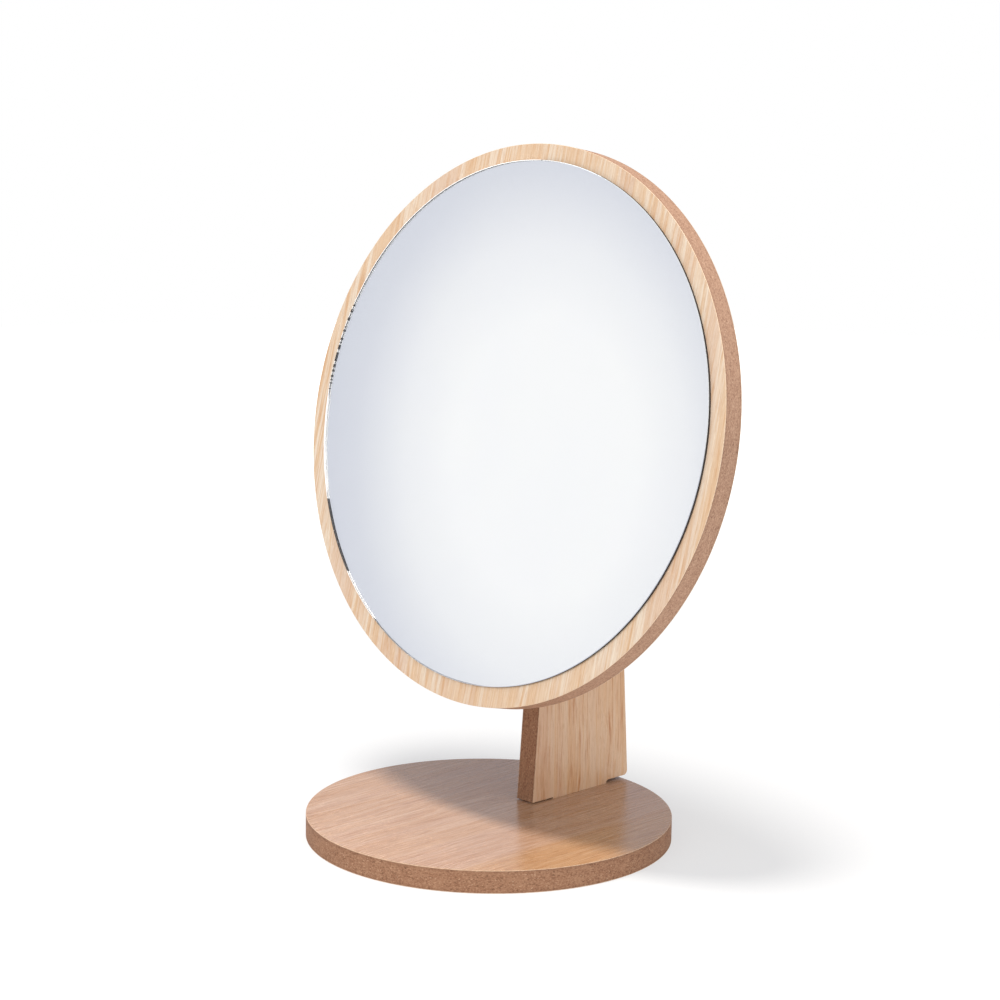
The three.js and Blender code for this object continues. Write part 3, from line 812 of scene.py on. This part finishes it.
def build_mirror_board():
    face = span("mirror_board_front_laminate", TILTED)[0].y
    back = span("mirror_board_back_laminate", TILTED)[1].y
    radius = span("mirror_board_core", TILTED)[1].x
    outline = circle(radius, BIG_DISC)

    shell = Shell("y")
    outer = [shell.loop(outline, place) for place in (face + SKIN, back - SKIN)]
    shell.wall(*outer)
    shell.cap(outer[0])
    mouths, openings = [], []
    for node in BRACKET_SCREWS:
        place = middle(node, TILTED)
        hole = circle(PILOT_HOLE, HOLE, (place.z, place.x))
        mouth = shell.loop(hole, back - SKIN)
        bottom = shell.loop(hole, span(node, TILTED)[0].y - PILOT_ROOM)
        shell.wall(mouth, bottom)
        shell.cap(bottom)
        mouths.append(mouth)
        openings.append((hole, hole))
    shell.cap(outer[1], *mouths)
    mdf = raw_mdf("mdf_board", TILTED, "y", (face, back), BOARD_MDF_LIT)
    finer("mirror_board_core", shell, TILTED, "mdf", mdf)

    skin = Shell("y").slab(outline, (face, face + SKIN - GLUE), (ARRIS, 0.0), (), (0, 1, 0))
    finer("mirror_board_front_laminate", skin, TILTED, "wood_laminate", WOOD_BOARD, EDGE_BOARD)
    skin = Shell("y").slab(outline, (back - SKIN + GLUE, back), (0.0, ARRIS), openings, (0, 1, 0))
    finer("mirror_board_back_laminate", skin, TILTED, "wood_laminate", WOOD_BOARD, EDGE_BOARD)


# ---------------------------------------------------------------- glass

PANE = 1440
GLASS_ARRIS = 0.3
# Runs of the arris that are ground white or painted dark: from, to, in degrees from the top towards +X, how
# wide, how much of that width is ragged, and how much of the run is white. They follow where the edge
# shows highlights and dark reflections: the white is ground glass lit by the lamps, and the dark is
# painted shade.
EDGE_RUNS = (
    (211, 225.5, 0.5, 0.40, 1.0),
    (225.5, 243.5, 0.5, 0.10, 0.0),
    (243.5, 269, 1.3, 0.25, 1.0),
    (269, 289, 0.4, 0.50, 0.55),
    (289, 356, 0.4, 0.15, 1.0),
)
RUN_BLEND = 3.0
# Clear glass, ground white glass, and a dark finish that is painted shade
CLEAR, GROUND, PAINTED_SHADE = 0, 1, 2
# How deep the arris is cut for each millimetre of its width
CLEAR_SLOPE = 0.75
FINISHED_SLOPE = 0.15
SILVER_MARGIN = 0.1
FILM_RAGGED = 0.8


def arris(angle):
    """How wide the arris is at an angle, and its finish."""
    degrees = math.degrees(angle) % 360
    spot = Vector((math.cos(angle), math.sin(angle), 0.0))
    nibble = noise.noise(spot * 75.0) + 0.6 * noise.noise(spot * 190.0)
    level = min(0.999, max(0.0, 0.5 + 1.2 * nibble))
    width, finish = GLASS_ARRIS + 0.05 * nibble, CLEAR
    for start, end, wide, ragged, white in EDGE_RUNS:
        share = min(1.0, (degrees - start) / RUN_BLEND, (end - degrees) / RUN_BLEND)
        if share > 0:
            width += share * (wide * (1.0 - ragged * level) - GLASS_ARRIS)
            finish = GROUND if level < white else PAINTED_SHADE
    return max(0.12, width), finish


def build_glass():
    low, high = span("mirror_glass", TILTED)
    centre = middle("mirror_glass", TILTED)
    radius = (high.x - low.x) / 2
    at = (centre.z, centre.x)
    edge = [arris(math.tau * i / PANE) for i in range(PANE)]

    def face_radius(angle):
        return radius - arris(angle)[0]

    shell = Shell("y")
    front = shell.loop(circle(face_radius, PANE, at), low.y)
    rim = shell.loop(circle(radius, PANE, at), low.y)
    for corner, (width, finish) in zip(rim, edge):
        corner.co.y += width * (CLEAR_SLOPE if finish == CLEAR else FINISHED_SLOPE)
    heel = shell.loop(circle(radius, PANE, at), high.y - GLASS_ARRIS)
    back = shell.loop(circle(radius - GLASS_ARRIS, PANE, at), high.y)
    shell.wall(front, rim)
    shell.wall(rim, heel)
    faces = list(shell.mesh.faces)
    # The rim takes the arris's finish, and painted shade where the arris is clear; the back arris is painted shade
    # all round.
    for face, side, (width, finish) in zip(faces, faces[PANE:], edge):
        face.material_index = finish
        side.material_index = PAINTED_SHADE if finish == CLEAR else finish
    shell.wall(heel, back, finish=PAINTED_SHADE)
    shell.cap(front)
    shell.cap(back)
    finishes = (clear_glass(), ground_glass(), painted_shade_edge())
    pane = finer("mirror_glass", shell, TILTED, "glass", *finishes)
    pane.visible_shadow = False

    low, high = span("mirror_silvering", TILTED)
    outline = circle(radius - SILVER_MARGIN, BIG_DISC, at)
    coat = Shell("y").slab(outline, (low.y, high.y), finishes=(0, 1, 1))
    finer("mirror_silvering", coat, TILTED, "silvering", silver_coat(), backing_paint())

    low, high = span("mirror_adhesive", TILTED)
    film_radius = (high.x - low.x) / 2

    def squeezed(angle):
        spot = Vector((math.cos(angle), math.sin(angle), 0.0))
        return film_radius - FILM_RAGGED * (1 + noise.noise(spot * 9))

    film = Shell("y").slab(circle(squeezed, BIG_DISC, at), (low.y, high.y), (0.05, 0.05))
    finer("mirror_adhesive", film, TILTED, "adhesive", soft_film())


# ---------------------------------------------------------------- metal and plastic

ZINC_STAND = zinc_plate(STAND)
ZINC_TILTING = zinc_plate(TILTED)
NYLON = natural_nylon()
THREAD_STEPS = 10
# Radii and lengths of the wood screws, and the width across the cross in their heads
BASE_SCREW = {"head": 4.0, "shank": 2.0, "point": 6.0, "recess": 4.4, "pitch": 1.8}
BRACKET_SCREW = {"head": 3.5, "shank": 1.75, "point": 3.0, "recess": 3.6, "pitch": 1.3}
SCREW_SIDES = 32
HEAD_RIM = 0.12
ROOT_SHARE = 0.68
CROSS_ARM = 1.1
CROSS_DEPTH = 1.2
CROSS_TAPER = 0.55
TURN_OF_NEXT_SCREW = 0.7
STEEL = 2.0
INNER_BEND = 1.0
BEND_CUTS = 8
FLANGE_HALF = 20.0
FLANGE_CORNER = 4.0
EAR_RADIUS = 10.0
SHOULDER_RISE = 4.0
STEEL_EDGE = 0.25
COUNTERSINK = 3.8
SQUARE_HOLE_HALF = 3.15
SQUARE_HOLE_CORNER = 0.3


def threaded(radius, depth, pitch, places, count, fade):
    """Outlines of a thread from one place to another, as (outline, place). It rises and dies out over
    `fade`."""
    start, end = places
    steps = round((end - start) / pitch * THREAD_STEPS)
    sections = []
    for i in range(steps + 1):
        place = start + (end - start) * i / steps
        height = min(1.0, (place - start) / fade, (end - place) / fade)

        def reach(angle):
            phase = (place / pitch - angle / math.tau) % 1.0
            crest = max(0.0, 1.0 - 3.2 * abs(phase - 0.5))
            return radius - depth * (1.0 - crest * height)

        sections.append((circle(reach, count), place))
    return sections


def cross(reach, width, count=4):
    """A cross with rounded ends and rounded roots."""
    arm = width / 2
    outline = []
    for quarter in range(4):
        turn = Matrix.Rotation(quarter * math.pi / 2, 2)
        end = arc((reach - arm * 0.5, arm * 0.5), arm * 0.5, 0, math.pi / 2, count)
        start = [Vector((p.x, -p.y)) for p in reversed(end)]
        root = arc((arm * 1.6, arm * 1.6), arm * 0.6, -math.pi / 2, -math.pi, count)
        outline += [turn @ p for p in start + end + root]
    return outline


def wood_screw(length, head, shank, point, recess, pitch):
    """A countersunk wood screw: its head's face at the origin, its point up +Z."""
    shell = Shell("z")
    root = shank * ROOT_SHARE
    cone = head - root
    neck = cone + pitch
    profile = [(head - HEAD_RIM, 0.0), (head, HEAD_RIM), (head, 2 * HEAD_RIM)]
    profile += [(root, cone + HEAD_RIM), (root, neck)]
    sections = [(circle(radius, SCREW_SIDES), place) for radius, place in profile]
    straight = (neck + 0.1, length - point)
    sections += threaded(shank, shank - root, pitch, straight, SCREW_SIDES, pitch)
    tapered = (length - point + 0.01, length - 0.1)
    for outline, place in threaded(shank, shank - root, pitch, tapered, SCREW_SIDES, pitch):
        left = max(0.03, (length - place) / point)
        sections.append(([p * left for p in outline], place))
    loops = [shell.loop(outline, place) for outline, place in sections]
    shell.wall(*loops)
    mouth = shell.loop(cross(recess / 2, CROSS_ARM), 0.0)
    bottom = shell.loop([p * CROSS_TAPER for p in cross(recess / 2, CROSS_ARM)], CROSS_DEPTH)
    shell.wall(mouth, bottom)
    shell.cap(loops[0], mouth)
    shell.cap(bottom)
    shell.cap(loops[-1])
    return shell


def build_screws():
    for node in BASE_SCREWS:
        low, high = span(node)
        shell = wood_screw(high.z - low.z, **BASE_SCREW)
        shell.mesh.transform(Matrix.Translation((*middle(node).xy, low.z)))
        finer(node, shell, STAND, "zinc_steel", ZINC_STAND)
    for i, node in enumerate(BRACKET_SCREWS):
        low, high = span(node, TILTED)
        centre = middle(node, TILTED)
        shell = wood_screw(high.y - low.y, **BRACKET_SCREW)
        place = Matrix.Translation((centre.x, high.y, centre.z)) @ Matrix.Rotation(math.pi / 2, 4, "X")
        shell.mesh.transform(place @ Matrix.Rotation(TURN_OF_NEXT_SCREW * i, 4, "Z"))
        finer(node, shell, TILTED, "zinc_steel", ZINC_TILTING)


def build_bracket(side, node, pivot_hole):
    """A blank cut from strip, pierced and countersunk, then bent square: the flange lies on the board and
    the ear stands beside the upright. The blank lies along X, with its bend starting at 0."""
    low, high = span(node, TILTED)
    ear_inner = min(abs(low.x), abs(high.x))
    reach = max(abs(low.x), abs(high.x))
    middle_bend = INNER_BEND + STEEL / 2
    bend = Vector((ear_inner + STEEL + INNER_BEND, low.y + STEEL + INNER_BEND))
    bent_length = middle_bend * math.pi / 2
    flange_end = bend.x - reach
    pivot_at = bent_length - bend.y
    shoulder_at = bent_length + SHOULDER_RISE - INNER_BEND
    run = pivot_at - shoulder_at
    tangent = math.atan2(FLANGE_HALF, run) + math.acos(EAR_RADIUS / math.hypot(run, FLANGE_HALF))
    touch = math.pi - tangent
    corner = (flange_end + FLANGE_CORNER, FLANGE_HALF - FLANGE_CORNER)
    outline = arc((pivot_at, 0.0), EAR_RADIUS, -touch, touch, 49)
    outline += [Vector((shoulder_at, FLANGE_HALF))]
    outline += arc(corner, FLANGE_CORNER, math.pi / 2, math.pi, 9)
    outline += arc((corner[0], -corner[1]), FLANGE_CORNER, math.pi, 1.5 * math.pi, 9)
    outline += [Vector((shoulder_at, -FLANGE_HALF))]
    pivot_outline = [p + Vector((pivot_at, 0.0)) for p in pivot_hole]
    holes = [(pivot_outline, pivot_outline)]
    for screw in BRACKET_SCREWS:
        if screw.startswith(side):
            place = middle(screw, TILTED)
            at = (bend.x - abs(place.x), place.z)
            holes.append((circle(PILOT_HOLE, HOLE, at), circle(COUNTERSINK, HOLE, at)))
    shell = Shell("z").slab(outline, (-STEEL / 2, STEEL / 2), (STEEL_EDGE, STEEL_EDGE), holes)
    mesh = shell.mesh
    for i in range(BEND_CUTS + 1):
        everything = [*mesh.verts, *mesh.edges, *mesh.faces]
        station = (bent_length * i / BEND_CUTS, 0, 0)
        bmesh.ops.bisect_plane(mesh, geom=everything, plane_co=station, plane_no=(1, 0, 0), dist=1e-5)
    flip = -1 if side == "left" else 1
    for vert in mesh.verts:
        run, height, lift = vert.co
        if run <= 0:
            x, y = bend.x - run, bend.y - middle_bend + lift
        elif run < bent_length:
            angle = run / middle_bend
            x = bend.x - (middle_bend - lift) * math.sin(angle)
            y = bend.y - (middle_bend - lift) * math.cos(angle)
        else:
            x, y = bend.x - middle_bend + lift, bend.y + run - bent_length
        vert.co = (flip * x, y, height)
    for face in mesh.faces:
        face.smooth = True
    finer(node, shell, TILTED, "zinc_steel", ZINC_TILTING)


BOLT_SIDES = 64
BOLT_RADIUS = 3.0
BOLT_NECK = 2.95
BOLT_END = 2.3
BOLT_THREAD = {"depth": 0.5, "pitch": 1.0}
DOME = 3.3
DOME_STEPS = 12
DOME_EDGE = 0.15
DOME_RIM = 0.25
SQUARE_HALF = 3.0
SQUARE_CORNER = 3.9
SQUARE_END = 1.8


def build_bolt():
    """A coach bolt: a domed head, a square neck and a thread."""
    low, high = span("pivot_bolt", TILTED)
    head_radius = high.z
    sphere = (head_radius**2 + DOME**2) / (2 * DOME)
    sections = []
    for i in range(1, DOME_STEPS + 1):
        angle = math.asin((head_radius - DOME_EDGE) / sphere) * i / DOME_STEPS
        place = low.x + sphere * (1 - math.cos(angle))
        sections.append((circle(sphere * math.sin(angle), BOLT_SIDES), place))
    under = low.x + DOME

    def square(angle):
        return min(SQUARE_HALF / max(abs(math.cos(angle)), abs(math.sin(angle))), SQUARE_CORNER)

    sections += [(circle(head_radius, BOLT_SIDES), under - DOME_RIM)]
    sections += [(circle(head_radius - DOME_EDGE, BOLT_SIDES), under)]
    sections += [(circle(square, BOLT_SIDES), under), (circle(square, BOLT_SIDES), under + SQUARE_END)]
    sections += [(circle(BOLT_NECK, BOLT_SIDES), under + SQUARE_END + 0.15)]
    thread = (under + SQUARE_END + 0.3, high.x - 0.5)
    sections += threaded(BOLT_RADIUS, places=thread, count=BOLT_SIDES, fade=1.0, **BOLT_THREAD)
    sections += [(circle(BOLT_END, BOLT_SIDES), high.x)]
    shell = Shell("x")
    loops = [shell.loop(outline, place) for outline, place in sections]
    shell.wall(*loops)
    shell.cap(loops[0])
    shell.cap(loops[-1])
    finer("pivot_bolt", shell, TILTED, "zinc_steel", ZINC_TILTING)


def washer_profile(inner, outer, near, far, edge):
    """A closed ring profile with its four corners softened."""
    profile = [(outer - i, near + rise) for i, rise in rounding(edge)]
    profile += [(outer - i, far - rise) for i, rise in reversed(rounding(edge))]
    profile += [(inner + i, far - rise) for i, rise in rounding(edge)]
    profile += [(inner + i, near + rise) for i, rise in reversed(rounding(edge))]
    return profile


WASHER_EDGE = 0.18
NYLON_BORE = 3.1
WASHER_BORE = 3.2


def build_washers():
    for node, bore, slot, finish in (
        ("left_friction_washer", NYLON_BORE, "nylon", NYLON),
        ("right_friction_washer", NYLON_BORE, "nylon", NYLON),
        ("knob_washer", WASHER_BORE, "zinc_steel", ZINC_TILTING),
    ):
        low, high = span(node, TILTED)
        profile = washer_profile(bore, high.z, low.x, high.x, WASHER_EDGE)
        finer(node, Shell("x").lathe(profile, 96, closed=True), TILTED, slot, finish)


KNOB_SIDES = 288
KNOB_RADIUS = 15.0
LOBES = 6
LOBE_DEPTH = 2.6
BOSS = 8.0
BOSS_LENGTH = 5.0
BOSS_EDGE = 0.6
FILLET = 1.2
FILLET_STEPS = 5
GRIP_EDGE = 1.7
KNOB_DISH = 8.5
DISH_LIP = ((0.4, 0.0), (0.12, 0.1), (0.0, 0.35))
DISH_DEPTH = 0.6
INSERT_ROOM = 0.05
INSERT_BORE = 3.1
KNURLS = 24
KNURL_DEPTH = 0.2


def build_knob():
    """A lobed knob on a round boss, with a shallow dish in its face and a knurled nut moulded into it."""
    low, high = span("clamp_knob", TILTED)
    start, end = low.x, high.x
    insert_low, insert_high = span("clamp_knob_insert", TILTED)
    near, far = insert_low.x, insert_high.x
    outer = insert_high.z
    bore = outer + INSERT_ROOM
    grip_start = start + BOSS_LENGTH

    def plain(radius):
        return circle(radius, KNOB_SIDES)

    def lobed(angle):
        return KNOB_RADIUS - LOBE_DEPTH * (1 - math.cos(LOBES * angle)) / 2

    def knurled(angle):
        return outer - KNURL_DEPTH * abs(math.sin(KNURLS * angle))

    sections = [(plain(bore), far + INSERT_ROOM), (plain(bore), start + 0.3), (plain(bore + 0.3), start)]
    sections += [(plain(BOSS - i), start + rise) for i, rise in rounding(BOSS_EDGE, 4)]
    for i in range(FILLET_STEPS, -1, -1):
        angle = math.pi / 2 * i / FILLET_STEPS
        radius = BOSS + FILLET - FILLET * math.sin(angle)
        sections += [(plain(radius), grip_start - FILLET * (1 - math.cos(angle)))]
    grip = plain(lobed)
    sections += [(inset(grip, i), grip_start + rise) for i, rise in rounding(GRIP_EDGE, 6)]
    sections += [(inset(grip, i), end - rise) for i, rise in reversed(rounding(GRIP_EDGE, 6))]
    sections += [(plain(KNOB_DISH + i), end - rise) for i, rise in DISH_LIP]
    sections += [(plain(KNOB_DISH - 0.2), end - DISH_DEPTH)]
    shell = Shell("x")
    loops = [shell.loop(outline, place) for outline, place in sections]
    shell.wall(*loops)
    shell.cap(loops[0])
    shell.cap(loops[-1])
    finer("clamp_knob", shell, TILTED, "black_plastic", moulded_black())

    sections = [(plain(INSERT_BORE), near + 0.4), (plain(INSERT_BORE + 0.4), near)]
    sections += [(plain(outer - 0.25), near), (plain(knurled), near + 0.3)]
    sections += [(plain(knurled), far - 0.3), (plain(outer - 0.25), far)]
    sections += [(plain(INSERT_BORE + 0.2), far), (plain(INSERT_BORE), far - 0.3)]
    shell = Shell("x")
    loops = [shell.loop(outline, place) for outline, place in sections]
    shell.wall(*loops, loops[0])
    finer("clamp_knob_insert", shell, TILTED, "brass", turned_brass())


build_base()
build_upright()
build_mirror_board()
build_glass()
build_screws()
square_hole = rounded_box(SQUARE_HOLE_HALF, SQUARE_HOLE_HALF, SQUARE_HOLE_CORNER)
build_bracket("left", "left_tilt_bracket", square_hole)
build_bracket("right", "right_tilt_bracket", circle(PIVOT_HOLE, HOLE))
build_bolt()
build_washers()
build_knob()
